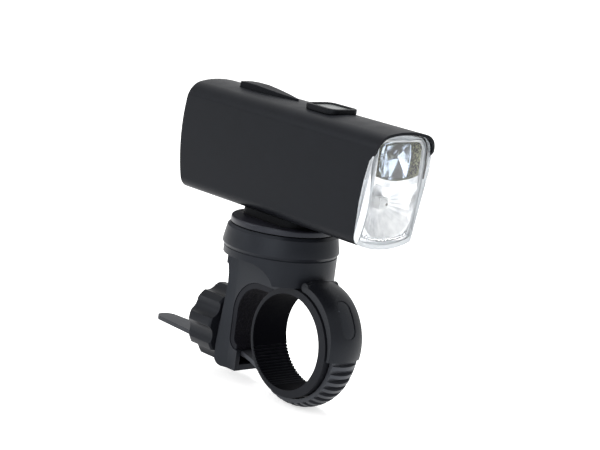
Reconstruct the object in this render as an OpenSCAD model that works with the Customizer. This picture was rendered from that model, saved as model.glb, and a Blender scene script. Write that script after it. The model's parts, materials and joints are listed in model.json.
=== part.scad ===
// Bike headlight with a swivel handlebar bracket.
// Origin: centre of the clamped handlebar. X points forward, Y left along the bar, Z up. Millimetres.

/* [Handlebar clamp] */
// Diameter of the handlebar tube
bar_d = 31.8; // [31:0.1:32.4]
// Radial clearance of the liner bore on the tube
bar_gap = 0.05; // [0.03:0.01:0.1]
// Width of the liner, the pad and the front of the bracket
clamp_w = 15; // [14:0.5:16]
// Thickness of the rubber liner at its top and bottom
liner_t = 2.25; // [2:0.05:2.5]
// Forward offset of the liner's outside, so that it is thicker in front
liner_shift = 1.05; // [0.8:0.05:1.2]
// Distance from the bar centre back to the rear face of the leg
leg_rear = 31.8; // [31.4:0.1:32.2]
// Thickness of the leg
leg_t = 4.5; // [4.2:0.1:4.8]
// Width of the leg at its rear face
leg_w = 19; // [18:0.2:20]
// Radius of the saddle behind the bar
saddle_r = 12; // [11.5:0.1:12.5]
// Thickness of the textured saddle pad
pad_t = 2; // [1.6:0.1:2.3]

/* [Strap and knob] */
// Width of the ribbed strap
strap_w = 10.4; // [9.6:0.1:10.6]
// Width of the strap's front cover
cover_w = 14; // [13:0.5:15]
// Thickness of the front cover where it is thickest
cover_t = 4; // [3.8:0.1:4.4]
// Radial clearance of the strap on the liner
strap_gap = 0.5; // [0.45:0.05:0.7]
// Radius of the tightening knob over its lobes
knob_r = 13; // [12.6:0.1:13.4]
// Length of the knob
knob_len = 12.2; // [11.6:0.2:12.8]
// Number of lobes on the knob
knob_lobes = 9; // [7:1:11]
// Depth of the knob axis below the bar centre
knob_drop = 4.2; // [3.8:0.1:4.6]
// Pitch of the knob thread and of the strap ribs
rib_pitch = 3; // [2.8:0.1:3.2]
// Length of the smooth tongue behind the knob
tongue_len = 26; // [15:1:30]

/* [Swivel] */
// Distance of the swivel axis behind the bar centre
swivel_back = 16; // [15.5:0.1:16.5]
// Largest radius of the collar under the turntable
collar_r = 19.6; // [19.2:0.1:20.2]
// Radius of the turntable disc
disc_r = 17.7; // [17:0.1:18.2]
// Thickness of the turntable disc
disc_t = 2.1; // [1.8:0.1:2.4]
// Radius of the pivot bolt
bolt_r = 2; // [1.8:0.1:2.2]

/* [Lamp] */
// Width of the lamp body
lamp_w = 26; // [25.6:0.1:27]
// Height of the lamp body
lamp_h = 38.6; // [38.2:0.1:39.4]
// Length from the swivel axis to the rear end
lamp_rear = 44.5; // [44:0.1:46]
// Length from the swivel axis to the front of the lens
lamp_front = 50.6; // [50.2:0.1:51.6]
// Wall thickness of the housing
wall = 1.6; // [1.5:0.05:1.7]
// Radius of the upper edges
top_r = 6; // [5:0.25:7]
// Radius of the lower edges
low_r = 3.5; // [3.2:0.1:4]
// Length of the power button
button_len = 28; // [26:0.5:29]
// Width of the power button
button_w = 6; // [5.4:0.1:6.6]
// Travel of the power button
button_travel = 0.8; // [0.5:0.1:0.9]
// Length of the indicator bezel
bezel_l = 14.5; // [13.5:0.5:15.5]
// Width of the indicator bezel
bezel_w = 12.5; // [12:0.5:13.5]

/* [Hidden] */
$fn = 64;
// clearances
run_gap = 0.06;
seat_gap = 0.25;
// clamp
bar_r = bar_d / 2;
bore_r = bar_r + bar_gap;
liner_or = bar_r + liner_t;
leg_front = -leg_rear + leg_t;
saddle_x = leg_front + saddle_r;
saddle_z = 3.6;
ceiling_z = saddle_z + saddle_r;
knob_z = -knob_drop;
knob_x = -leg_rear - 0.3;
leg_bottom = knob_z - knob_r + 0.5;
leg_waist = 1.6;
waist_z = 12;
heel_r = 3;
lip_r = 4;
// strap section: a flat inner face and a round outer face that fits the knob thread
thread_r = 9;
thread_depth = 1;
rib_r = thread_r - 0.2;
core_r = thread_r - thread_depth - 0.15;
rib_w = 1.3;
core_t = 1.3;
strap_flat = 5.7;
strap_r = liner_or + strap_gap;
tail_z = knob_z - strap_flat;
bend_r = 25;
bend_x = liner_shift - sqrt((strap_r + tail_z) * (strap_r - tail_z + 2 * bend_r));
bend_z = tail_z - bend_r;
bend_a = atan2(bend_z, bend_x - liner_shift);
cover_end = -4;
cover_round = 16;
// the cover's outside is centred off the bar, so that the cover thins towards its lower end
crown_off = 3.2;
crown_ang = 50;
crown_x = liner_shift + crown_off * cos(crown_ang);
crown_z = crown_off * sin(crown_ang);
crown_r = strap_r + cover_t - crown_off;
seam_x = -leg_rear + 3.4;
slot_low = knob_z - rib_r - 1.7;
cheek_z = tail_z + 0.3;
thread_x0 = knob_x - knob_len + 0.6;
thread_len = knob_len - 3.4;
// hinge of the strap
pin_r = 0.8;
knuckle_r = 1.6;
lug_w = 6;
pin_ang = 78;
pin_rad = strap_r + 1.3;
pin_x = liner_shift + pin_rad * cos(pin_ang);
pin_z = pin_rad * sin(pin_ang);
inlay_ang = 34;
inlay_w = 5.8;
inlay_l = 13;
inlay_depth = 0.8;
// swivel stack
swivel_x = -swivel_back;
neck_r = collar_r - 0.55;
neck_z = liner_or + 0.25;
collar_z0 = neck_z + 8.6;
collar_z1 = collar_z0 + 7.8;
washer_t = 0.3;
disc_z = collar_z1 + washer_t;
shoe_z = disc_z + disc_t;
lamp_z0 = shoe_z + 1.2;
hub_r = 6;
pocket_z = ceiling_z + 5.4;
nut_h = 3.2;
spring_t = 0.9;
// lamp shell
lamp_z1 = lamp_z0 + lamp_h;
top_crown = 40;
low_crown = 34;
top_cz = lamp_z1 - top_crown;
top_y = lamp_w / 2 - top_r;
top_z = top_cz + sqrt(pow(top_crown - top_r, 2) - top_y * top_y);
low_cz = lamp_z0 + low_crown;
low_y = lamp_w / 2 - low_r;
low_z = low_cz - sqrt(pow(low_crown - low_r, 2) - low_y * low_y);
rear_x = swivel_x - lamp_rear;
front_x = swivel_x + lamp_front;
rear_round = 60;
rear_cz = lamp_z0 + 21.6;
cap_x = rear_x + 6;
cap_wall = 1.8;
visor_t = 0.9;
mouth_x = front_x - 3.8;
front_cz = lamp_z0 + 27.6;
front_round = 110;
lens_half = 12;
lens_yaw = 40.7;
lens_tilt = 6.9;
lens_wall = 1.6;
seal_t = 1.2;
spigot_x = mouth_x - 2.6;
spigot_in = wall + 1.3;
fill_in = spigot_in + 0.1;
// inside
cell_r = 9.2;
cell_len = 65;
sink_x = mouth_x - 9.4;
sink_t = 2;
board_t = 1.2;
led_x = sink_x + sink_t;
optic_x = led_x + board_t;
cell_x = sink_x - 0.6 - cell_len;
cell_z = lamp_z0 + 14.8;
cradle_t = 1.1;
board_z = cell_z + cell_r + 1.2;
spot_r = 6.2;
spot_clear = 0.8;
spot_gap = 0.15;
spot_z = lamp_z1 - spigot_in - spot_clear - spot_r;
shelf_t = 1.2;
shelf_z = spot_z - spot_r - spot_gap - shelf_t;
main_z = (lamp_z0 + fill_in + shelf_z) / 2 + 2.4;
led_lift = 3.2;
led_hole = 2.6;
bowl_r = shelf_z - main_z - 0.4;
bowl_front = mouth_x - 1.2;
bowl_back = optic_x + led_lift - 0.4;
bowl_x = (pow(bowl_r, 2) + pow(bowl_front, 2) - pow(led_hole, 2) - pow(bowl_back, 2))
    / (2 * (bowl_front - bowl_back));
bowl_ball = sqrt(pow(bowl_r, 2) + pow(bowl_x - bowl_front, 2));
spot_root = 3.4;
spot_cone = 4.2;
boss_y = lamp_w / 2 - wall - 2.7;
boss_low = lamp_z0 + wall + 3.8;
boss_top = lamp_z1 - wall - 3.4;
usb_z = board_z + board_t + 1.6;
usb_x = rear_x + 2.9;
flap_z = usb_z - 4.4;
flap_deep = 1.25;
flap_x = rear_x + flap_deep;
flap_r = 0.9;
flap_w = 13;
flap_h = 8;
switch_x = swivel_x - 20;
button_x = swivel_x - button_len;
button_z = lamp_z1 + 2;
window_x = swivel_x + 15.3;
bezel_h = 1.5;
pane_inset = 1.6;

// points along an arc, without its last point
function arc(c, r, a0, a1, n) = [for (k = [0 : n - 1])
    c + r * [cos(a0 + (a1 - a0) * k / n), sin(a0 + (a1 - a0) * k / n)]];

// XZ profile pushed along Y, centred
module along_y(w) {
    rotate([90, 0, 0]) linear_extrude(w, center = true) children();
}

// YZ profile pushed along X
module along_x(x0, x1) {
    translate([x0, 0, 0]) rotate([90, 0, 90]) linear_extrude(x1 - x0) children();
}

// profile (radius, width) swept round an axis along Y
module about_y(cx, cz, start, sweep) {
    translate([cx, 0, cz]) rotate([90, 0, 0]) rotate([0, 0, start]) rotate_extrude(angle = sweep) children();
}

// round bar along Y
module bar_y(x, z, r, w) {
    translate([x, 0, z]) rotate([90, 0, 0]) cylinder(r = r, h = w, center = true);
}

// round bar along X
module bar_x(x0, x1, y, z, r) {
    translate([x0, y, z]) rotate([0, 90, 0]) cylinder(r = r, h = x1 - x0);
}

// rectangle with true round corners
module round_rect(l, w, r) {
    square([l, w - 2 * r], center = true);
    square([l - 2 * r, w], center = true);
    for (sx = [-1, 1], sy = [-1, 1]) translate([sx * (l / 2 - r), sy * (w / 2 - r)]) circle(r);
}

// section of the strap (thickness, width) out to a radius about the knob axis
module strap_2d(r) {
    intersection() {
        translate([-strap_flat, 0]) circle(r);
        translate([0, -strap_w / 2]) square([6, strap_w]);
    }
}

// everything inside the crowned outside of the front cover, grown by g
module crown(g) {
    edge = asin(cover_w / 2 / cover_round);
    middle = crown_r + g - cover_round;
    about_y(crown_x, crown_z, -60, 220) polygon(concat(arc([middle, 0], cover_round, -edge, edge, 10),
        [[middle + cover_round * cos(edge), cover_w / 2], [5, cover_w / 2], [5, -cover_w / 2]]));
}

// free space behind and above the bar, drawn in XZ
module saddle_2d(o) {
    translate([leg_front + o, cheek_z + lip_r]) square([60, saddle_z - cheek_z - lip_r]);
    translate([leg_front + lip_r, cheek_z + o]) square([60, saddle_z - cheek_z - o]);
    translate([leg_front + lip_r, cheek_z + lip_r]) circle(lip_r - o);
    translate([saddle_x, saddle_z]) circle(saddle_r - o);
    translate([saddle_x, saddle_z]) square([60, saddle_r - o]);
}

// narrows the leg from its rear face to the front of the bracket
module leg_sides() {
    slope = (leg_w - clamp_w) / 2 / leg_t;
    difference() {
        children();
        for (s = [-1, 1]) translate([0, 0, -40]) linear_extrude(100)
            polygon([[-leg_rear - 1, s * (leg_w / 2 + slope)], [leg_front, s * clamp_w / 2],
                [leg_front + 60, s * clamp_w / 2], [leg_front + 60, s * 40], [-leg_rear - 1, s * 40]]);
    }
}

// scoop under the collar at each side of the leg
module scoop_2d() {
    translate([swivel_x + 5.1, neck_z - 1.9]) circle(8.2);
    translate([swivel_x - 30, neck_z - 12]) square([35.1, 18.3]);
}

// lamp section in YZ, drawn a distance i inside the outer skin
module lamp_2d(i) {
    at = atan2(top_z - top_cz, top_y);
    ab = atan2(low_z - low_cz, low_y);
    polygon(concat(arc([top_y, top_z], top_r - i, 0, at, 9),
        arc([0, top_cz], top_crown - i, at, 180 - at, 10),
        arc([-top_y, top_z], top_r - i, 180 - at, 180, 9),
        arc([-low_y, low_z], low_r - i, 180, 180 - ab, 7),
        arc([0, low_cz], low_crown - i, 180 - ab, 360 + ab, 12),
        arc([low_y, low_z], low_r - i, 360 + ab, 360, 7)));
}

// side view of everything behind the housing mouth, with the visor at the top
module mouth_2d() {
    polygon([[rear_x - 10, lamp_z0 - 10], [mouth_x - 0.9, lamp_z0 - 10], [mouth_x - 0.6, lamp_z0 + 4],
        [mouth_x - 0.4, lamp_z0 + 16], [mouth_x + 0.4, lamp_z0 + 23], [mouth_x + 1.7, lamp_z0 + 29.2],
        [mouth_x + 3.8, lamp_z0 + 32], [mouth_x + 4.6, lamp_z0 + 36], [mouth_x + 4.3, lamp_z1 + 10],
        [rear_x - 10, lamp_z1 + 10]]);
}

// everything behind the slanted edge at one side of the lens, set in by d
module lens_side(s, d) {
    translate([front_x - 0.65, s * lens_half, lamp_z0 + 21.6]) rotate([0, 0, s * lens_yaw])
        rotate([0, lens_tilt, 0]) translate([-80 - d, -80, -80]) cube([80, 160, 160]);
}

// front of the lens, set in by d: a shallow ball with a slanted edge at each side and below
module lens_form(d) {
    intersection() {
        translate([front_x - front_round, 0, front_cz]) sphere(front_round - d, $fn = 360);
        lens_side(1, d);
        lens_side(-1, d);
        along_y(80) polygon([[spigot_x - 10, lamp_z0 - 1], [mouth_x + 0.5 - d, lamp_z0 - 1],
            [front_x - d, lamp_z0 + 4 + d / 2], [front_x + 5, lamp_z1 + 9], [spigot_x - 10, lamp_z1 + 9]]);
    }
}

// ball that rounds the rear end, set in by d
module rear_form(d) {
    translate([rear_x + rear_round, 0, rear_cz]) sphere(rear_round - d, $fn = 360);
}

// leaf outline of the button, grown by g
module leaf_2d(g) {
    half = button_w / 2;
    wide = button_x + 8;
    big = (pow(swivel_x - wide, 2) + half * half) / (2 * half);
    intersection() {
        translate([wide, half - big]) circle(big + g, $fn = 360);
        translate([wide, big - half]) circle(big + g, $fn = 360);
        translate([button_x + 9, 0]) circle(9 + g);
        translate([button_x - 2, -10]) square([button_len + 2, 20]);
    }
    intersection() {
        translate([wide, half - big]) circle(big + g, $fn = 360);
        translate([wide, big - half]) circle(big + g, $fn = 360);
        translate([button_x + 8.5, -10]) square([button_len - 9.3 + g, 20]);
    }
}

module clamp_bracket() {
    color("#2b2d31") difference() {
        union() {
            difference() {
                union() {
                    translate([swivel_x + 0.1, 0, neck_z])
                        cylinder(r = neck_r, h = collar_z0 - neck_z, $fn = 128);
                    translate([swivel_x, 0, 0]) rotate_extrude($fn = 128)
                        polygon([[0, collar_z0], [neck_r - 0.2, collar_z0], [collar_r, collar_z0 + 1.3],
                            [collar_r - 0.1, collar_z0 + 2.4], [collar_r - 1, collar_z1 - 0.9],
                            [collar_r - 1.9, collar_z1], [0, collar_z1]]);
                }
                for (s = [-1, 1]) translate([0, s * (clamp_w / 2 + 15), 0]) along_y(30) scoop_2d();
            }
            leg_sides() along_y(leg_w) {
                polygon([[-leg_rear + 0.6, collar_z0], [-leg_rear + 0.6, waist_z + 9],
                    [-leg_rear + leg_waist - 0.2, waist_z + 4], [-leg_rear + leg_waist, waist_z],
                    [-leg_rear, knob_z - 5], [-leg_rear, leg_bottom + heel_r],
                    [leg_front + 4, leg_bottom + heel_r], [leg_front + 4, collar_z0]]);
                translate([-leg_rear + heel_r, leg_bottom + heel_r]) circle(heel_r);
                translate([-leg_rear + heel_r, leg_bottom])
                    square([leg_t - heel_r + lip_r + 0.4, cheek_z + 2 - leg_bottom]);
                translate([leg_front - 1, saddle_z]) square([1.3 - leg_front, collar_z0 - saddle_z]);
            }
            bar_y(pin_x, pin_z, knuckle_r - 0.1, lug_w);
            translate([-2, -lug_w / 2, pin_z - knuckle_r + 0.1]) cube([pin_x + 2, lug_w, 2 * knuckle_r - 0.2]);
            bar_x(-leg_rear - 2, -leg_rear + 1, 0, knob_z, thread_r - run_gap);
            bar_x(-leg_rear - knob_len + 0.6, -leg_rear + 1, 0, knob_z, thread_r - thread_depth - 0.4);
        }
        along_y(60) {
            saddle_2d(0);
            translate([liner_shift, 0]) circle(liner_or, $fn = 128);
        }
        translate([-leg_rear - 20, -strap_w / 2 - 0.5, slot_low])
            cube([40, strap_w + 1, tail_z + 0.2 - slot_low]);
        bar_y(pin_x, pin_z, pin_r, 40);
        translate([swivel_x, 0, 0]) cylinder(r = bolt_r + run_gap, h = 60);
        translate([swivel_x, 0, 0]) cylinder(r = 5.2, h = pocket_z);
        translate([swivel_x, 0, collar_z0 + 1.6]) difference() {
            cylinder(r = disc_r - 2.6, h = 30);
            cylinder(r = hub_r, h = 30);
        }
    }
}

module saddle_pad() {
    color("#17181a") along_y(clamp_w - 0.4) difference() {
        intersection() {
            saddle_2d(0);
            union() {
                translate([leg_front - 1, cheek_z + lip_r]) square([saddle_r + 9, 60]);
                translate([leg_front - 1, cheek_z - 1]) square([lip_r + 0.8, 20]);
            }
        }
        saddle_2d(pad_t);
        translate([liner_shift, 0]) circle(liner_or, $fn = 128);
    }
}

module handlebar_liner() {
    color("#3a3c40") difference() {
        bar_y(liner_shift, 0, liner_or, clamp_w, $fn = 128);
        bar_y(0, 0, bore_r, clamp_w + 2, $fn = 128);
    }
}

module hinge_pin() {
    color("#3a3b3d") bar_y(pin_x, pin_z, pin_r, cover_w - 2);
}

module swivel_washer() {
    color("#d8d6cc") translate([swivel_x, 0, collar_z1]) difference() {
        cylinder(r = hub_r, h = washer_t);
        translate([0, 0, -1]) cylinder(r = bolt_r + run_gap, h = washer_t + 2);
    }
}

module spring_washer() {
    color("#8d9094") translate([swivel_x, 0, pocket_z - spring_t]) difference() {
        cylinder(r = 4.6, h = spring_t);
        translate([0, 0, -1]) cylinder(r = bolt_r + run_gap, h = spring_t + 2);
    }
}

// prism that outlines the inlay on the cover
module inlay_prism() {
    translate([liner_shift, 0, 0]) rotate([0, -inlay_ang, 0]) translate([strap_r, 0, 0])
        rotate([90, 0, 90]) linear_extrude(12) round_rect(inlay_w, inlay_l, inlay_w / 2 - 0.1);
}

module strap_cover() {
    color("#303236") difference() {
        union() {
            intersection() {
                about_y(liner_shift, 0, cover_end, pin_ang - cover_end)
                    translate([strap_r, -cover_w / 2 - 1]) square([8, cover_w + 2]);
                crown(0);
            }
            bar_y(pin_x, pin_z, knuckle_r, cover_w - 0.3);
        }
        along_y(lug_w + 0.5) intersection() {
            translate([liner_shift, 0]) circle(pin_rad + knuckle_r + 0.15, $fn = 128);
            translate([-5, strap_r - 5]) square([pin_x + 8.4, 14]);
        }
        difference() {
            inlay_prism();
            crown(-inlay_depth);
        }
        bar_y(pin_x, pin_z, pin_r + run_gap, cover_w - 1.6);
    }
}

module strap_inlay() {
    color("#1d1e20") intersection() {
        difference() {
            inlay_prism();
            crown(-inlay_depth);
        }
        crown(-0.2);
    }
}

// one crowned rib, standing on the strap's core
module strap_rib() {
    along_x(-rib_w / 2, rib_w / 2) rotate(-90) intersection() {
        strap_2d(rib_r);
        translate([0.4, -strap_w / 2 + 0.15]) square([9, strap_w - 0.3]);
    }
}

module strap_band() {
    step = rib_pitch / (strap_r + 2) * 180 / PI;
    bend_step = rib_pitch / (bend_r - 2) * 180 / PI;
    bend_0 = bend_a + 180;
    wrap = [for (k = [0 : 30]) cover_end + (bend_a - cover_end) * k / 30];
    turn = [for (k = [1 : 12]) bend_0 + (90 - bend_0) * k / 12];
    face = concat([for (a = wrap) [liner_shift + strap_r * cos(a), strap_r * sin(a)]],
        [for (b = turn) [bend_x + bend_r * cos(b), bend_z + bend_r * sin(b)]], [[seam_x, tail_z]]);
    back = concat([for (a = wrap) [liner_shift + (strap_r + core_t) * cos(a), (strap_r + core_t) * sin(a)]],
        [for (b = turn) [bend_x + (bend_r - core_t) * cos(b), bend_z + (bend_r - core_t) * sin(b)]],
        [[seam_x, tail_z - core_t]]);
    last = len(face) - 1;
    color("#2a2c2f") {
        along_y(strap_w) polygon(concat(face, [for (k = [last : -1 : 0]) back[k]]));
        for (a = [cover_end - 0.6 * step : -step : bend_a + 2])
            translate([liner_shift + strap_r * cos(a), 0, strap_r * sin(a)])
                rotate([0, atan2(-cos(a), -sin(a)), 0]) strap_rib();
        for (b = [bend_0 + 0.4 * bend_step : bend_step : 90])
            translate([bend_x + bend_r * cos(b), 0, bend_z + bend_r * sin(b)])
                rotate([0, atan2(cos(b), sin(b)), 0]) strap_rib();
    }
}

module strap_tail() {
    last = thread_x0 - 3;
    color("#2a2c2f") {
        along_x(last, seam_x - 0.3) translate([0, tail_z]) rotate(-90) strap_2d(core_r);
        for (x = [thread_x0 + rib_pitch / 2 : rib_pitch : seam_x - 1.2])
            along_x(x - rib_w / 2, x + rib_w / 2) translate([0, tail_z]) rotate(-90) strap_2d(rib_r);
        translate([0, 0, tail_z - 2.1]) linear_extrude(1.5) {
            polygon([[last, -strap_w / 2], [last, strap_w / 2], [last - tongue_len + 3, strap_w / 2 - 1.6],
                [last - tongue_len + 3, -strap_w / 2 + 1.6]]);
            translate([last - tongue_len + 3, 0]) intersection() {
                circle(strap_w / 2 - 1.6);
                translate([-20, -20]) square([20, 40]);
            }
        }
    }
}

module tension_knob() {
    scoop = 38 / knob_lobes;
    scoop_depth = 1.7;
    color("#26282b") {
        difference() {
            intersection() {
                along_x(knob_x - knob_len, knob_x) translate([0, knob_z]) difference() {
                    circle(knob_r);
                    for (k = [0 : knob_lobes - 1]) rotate((k + 0.5) * 360 / knob_lobes)
                        translate([0, knob_r + scoop - scoop_depth]) circle(scoop);
                }
                translate([knob_x - knob_len, 0, knob_z]) rotate([0, 90, 0]) {
                    cylinder(r1 = knob_r - 1, r2 = knob_r, h = 1);
                    translate([0, 0, 1]) cylinder(r = knob_r, h = knob_len - 1.6);
                    translate([0, 0, knob_len - 0.6]) cylinder(r1 = knob_r, r2 = knob_r - 0.6, h = 0.6);
                }
            }
            bar_x(knob_x - knob_len - 1, knob_x + 1, 0, knob_z, thread_r);
        }
    }
}

module thread_coil() {
    color("#8d8a80") translate([thread_x0, 0, knob_z]) rotate([0, 90, 0])
        linear_extrude(thread_len, twist = -360 * thread_len / rib_pitch, slices = 40, $fn = 16)
            polygon([for (a = [-48 : 16 : 48]) thread_r * [cos(a), sin(a)],
                for (a = [48 : -16 : -48]) (thread_r - thread_depth + 0.1) * [cos(a), sin(a)]]);
}

module turntable_disc() {
    color("#33353a") translate([swivel_x, 0, disc_z]) difference() {
        union() {
            cylinder(r = disc_r, h = disc_t - 0.4, $fn = 128);
            translate([0, 0, disc_t - 0.4]) cylinder(r1 = disc_r, r2 = disc_r - 0.4, h = 0.4, $fn = 128);
        }
        translate([0, 0, -1]) cylinder(r = bolt_r, h = 10);
    }
}

module mounting_shoe() {
    color("#1b1c1e") difference() {
        translate([swivel_x, 0, shoe_z]) linear_extrude(4) round_rect(26, 19, 5);
        along_x(rear_x, front_x) lamp_2d(0);
        translate([swivel_x, 0, 0]) cylinder(r = bolt_r, h = 90);
    }
}

module pivot_bolt() {
    color("#a3a6aa") translate([swivel_x, 0, 0]) {
        translate([0, 0, pocket_z - spring_t - nut_h - 0.4])
            cylinder(r = bolt_r, h = lamp_z0 + wall + 0.6 - (pocket_z - spring_t - nut_h - 0.4));
        translate([0, 0, lamp_z0 + wall + 0.6]) difference() {
            cylinder(r = 3.6, h = 2);
            translate([0, 0, 0.9]) cylinder(r = 1.5, h = 2, $fn = 6);
        }
    }
}

module pivot_nut() {
    color("#a3a6aa") translate([swivel_x, 0, pocket_z - spring_t - nut_h]) difference() {
        cylinder(r = 4.04, h = nut_h, $fn = 6);
        translate([0, 0, -1]) cylinder(r = bolt_r, h = nut_h + 2);
    }
}

module housing_shell() {
    color("#303236") difference() {
        union() {
            intersection() {
                along_x(cap_x, front_x + 4) difference() {
                    lamp_2d(0);
                    lamp_2d(wall);
                }
                along_y(80) mouth_2d();
            }
            intersection() {
                translate([swivel_x, 0, lamp_z0]) cylinder(r = 5, h = wall + 0.6);
                along_x(cap_x, front_x) lamp_2d(wall / 2);
            }
            for (s = [-1, 1], z = [boss_low, boss_top]) intersection() {
                bar_x(cap_x, cap_x + 8, s * boss_y, z, 2.2);
                along_x(cap_x, cap_x + 9) lamp_2d(wall / 2);
            }
            for (s = [-1, 1], z = [boss_low, boss_top])
                translate([cap_x, s * (boss_y + 1.4) - 1.4, z - 1]) cube([8, 2.8, 2]);
        }
        along_x(mouth_x + 0.3, front_x + 5) lamp_2d(visor_t);
        translate([swivel_x, 0, lamp_z0 - 5]) cylinder(r = bolt_r, h = 20);
        for (s = [-1, 1], z = [boss_low, boss_top]) bar_x(cap_x - 1, cap_x + 7, s * boss_y, z, 1);
        translate([0, 0, lamp_z1 - 8]) linear_extrude(20) leaf_2d(seat_gap);
        translate([window_x, 0, lamp_z1 - 8]) linear_extrude(20)
            round_rect(bezel_l - 2 * pane_inset - 2, bezel_w - 2 * pane_inset - 2, 1.5);
    }
}

module rear_cap() {
    color("#2b2d30") difference() {
        union() {
            intersection() {
                along_x(rear_x - 2, cap_x) lamp_2d(0);
                rear_form(0);
            }
            along_x(cap_x - 0.5, cap_x + 1.8) difference() {
                lamp_2d(wall);
                lamp_2d(wall + 1.2);
                for (s = [-1, 1], z = [boss_low, boss_top]) translate([s * boss_y, z]) circle(2.4);
                for (s = [-1, 1], z = [boss_low, boss_top])
                    translate([s * (boss_y + 1.4) - 1.6, z - 1.2]) square([3.2, 2.4]);
            }
        }
        intersection() {
            along_x(rear_x - 2, cap_x + 4) difference() {
                lamp_2d(wall + 1.2);
                for (s = [-1, 1], z = [boss_low, boss_top]) translate([s * boss_y, z]) circle(3);
            }
            rear_form(cap_wall);
        }
        for (s = [-1, 1], z = [boss_low, boss_top]) {
            bar_x(rear_x - 2, cap_x - 1.6, s * boss_y, z, 2);
            bar_x(rear_x - 2, cap_x + 4, s * boss_y, z, 1.1);
        }
        // socket opening and the pocket of its cover
        along_x(rear_x - 2, cap_x - 1) translate([0, usb_z]) round_rect(10, 4.2, 1.6);
        along_x(rear_x - 2, flap_x + 0.25) translate([0, flap_z + flap_h / 2])
            square([flap_w + 0.6, flap_h + 0.6], center = true);
        bar_y(flap_x, flap_z, flap_r + seat_gap, flap_w + 0.6);
        along_x(rear_x - 2, flap_x) translate([-flap_w / 2 - 0.3, flap_z - flap_deep - seat_gap])
            square([flap_w + 0.6, 2 * flap_deep]);
    }
}

module cap_screws() {
    color("#8d9094") for (s = [-1, 1], z = [boss_low, boss_top]) {
        bar_x(cap_x - 2.8, cap_x - 1.6, s * boss_y, z, 1.9);
        bar_x(cap_x - 1.7, cap_x + 6, s * boss_y, z, 1);
    }
}

module front_lens() {
    color("#dfe6ea") difference() {
        intersection() {
            union() {
                difference() {
                    along_x(mouth_x - 2, front_x + 4) lamp_2d(0);
                    along_y(80) mouth_2d();
                }
                along_x(spigot_x, front_x + 4) lamp_2d(wall);
                along_x(mouth_x + 0.4, front_x + 4) lamp_2d(visor_t);
            }
            lens_form(0);
        }
        intersection() {
            along_x(spigot_x - 1, front_x + 4) lamp_2d(spigot_in);
            lens_form(lens_wall);
        }
    }
}

module lens_seal() {
    color("#131415") along_x(spigot_x - seal_t, spigot_x) difference() {
        lamp_2d(wall);
        lamp_2d(spigot_in);
    }
}

module main_reflector() {
    color("#e3e6e8") difference() {
        intersection() {
            along_x(optic_x, mouth_x - 0.2) lamp_2d(fill_in);
            translate([optic_x, -20, lamp_z0]) cube([40, 40, shelf_z + shelf_t - lamp_z0]);
            lens_form(lens_wall + 0.2);
        }
        translate([bowl_x, 0, main_z]) sphere(bowl_ball, $fn = 128);
        bar_x(optic_x - 1, mouth_x, 0, main_z, led_hole);
    }
}

module upper_baffle() {
    color("#2a2f2a") difference() {
        intersection() {
            along_x(optic_x, mouth_x - 1.2) lamp_2d(fill_in);
            translate([optic_x, -20, shelf_z + shelf_t]) cube([40, 40, 40]);
        }
        translate([optic_x, 0, spot_z]) rotate([0, 90, 0])
            cylinder(r1 = spot_root + spot_gap, r2 = spot_r + spot_gap, h = spot_cone);
        bar_x(optic_x + spot_cone - 0.1, mouth_x, 0, spot_z, spot_r + spot_gap);
    }
}

module upper_collimator() {
    body = mouth_x - 0.6 - optic_x;
    color("#eef3f4") translate([optic_x, 0, spot_z]) rotate([0, 90, 0]) rotate_extrude() difference() {
        union() {
            polygon([[0, 1.6], [spot_root + (spot_r - spot_root) * 1.6 / spot_cone, 1.6], [spot_r, spot_cone],
                [spot_r, body], [0, body]]);
            intersection() {
                translate([0, body - 8.8]) circle(10.5);
                translate([0, body - 1]) square([spot_r, 8]);
            }
        }
        translate([0, 0]) square([2.4, 2.8]);
    }
}

module led_board() {
    color("#2f6b3f") along_x(led_x, optic_x) lamp_2d(wall + 0.7);
}

module main_led() {
    color("#f2e7a4") {
        translate([optic_x, -1.75, main_z - 1.75]) cube([led_lift, 3.5, 3.5]);
        intersection() {
            translate([optic_x + led_lift, 0, main_z]) sphere(1.5);
            translate([optic_x + led_lift, -5, main_z - 5]) cube([5, 10, 10]);
        }
    }
}

module upper_led() {
    color("#f2e7a4") {
        translate([optic_x, -1.5, spot_z - 1.5]) cube([0.8, 3, 3]);
        intersection() {
            translate([optic_x + 0.8, 0, spot_z]) sphere(1.2);
            translate([optic_x + 0.8, -5, spot_z - 5]) cube([5, 10, 10]);
        }
    }
}

module heat_sink() {
    color("#a9adb1") along_x(sink_x, led_x) lamp_2d(wall);
}

module battery_cell() {
    color("#3f6fa8") {
        bar_x(cell_x, cell_x + cell_len - 1.5, 0, cell_z, cell_r);
        bar_x(cell_x + cell_len - 1.5, cell_x + cell_len, 0, cell_z, 3);
    }
}

module battery_cradle() {
    color("#1e1f21") {
        along_x(cell_x + 2, cell_x + cell_len - 4) difference() {
            union() {
                translate([0, cell_z]) circle(cell_r + cradle_t);
                translate([-cell_r - cradle_t, cell_z]) square([2 * (cell_r + cradle_t), board_z - cell_z]);
            }
            translate([0, cell_z]) circle(cell_r);
            translate([-cell_r, cell_z]) square([2 * cell_r, 40]);
        }
        for (x = [cell_x + 8, cell_x + cell_len - 12]) intersection() {
            along_x(x, x + 4) difference() {
                translate([-6, lamp_z0]) square([12, cell_z - lamp_z0]);
                translate([0, cell_z]) circle(cell_r + cradle_t / 2);
            }
            along_x(x - 1, x + 5) lamp_2d(wall);
        }
    }
}

module main_board() {
    color("#2f6b3f") translate([cap_x + 2, -cell_r - cradle_t, board_z])
        cube([sink_x - 0.5 - cap_x - 2, 2 * (cell_r + cradle_t), board_t]);
}

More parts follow.
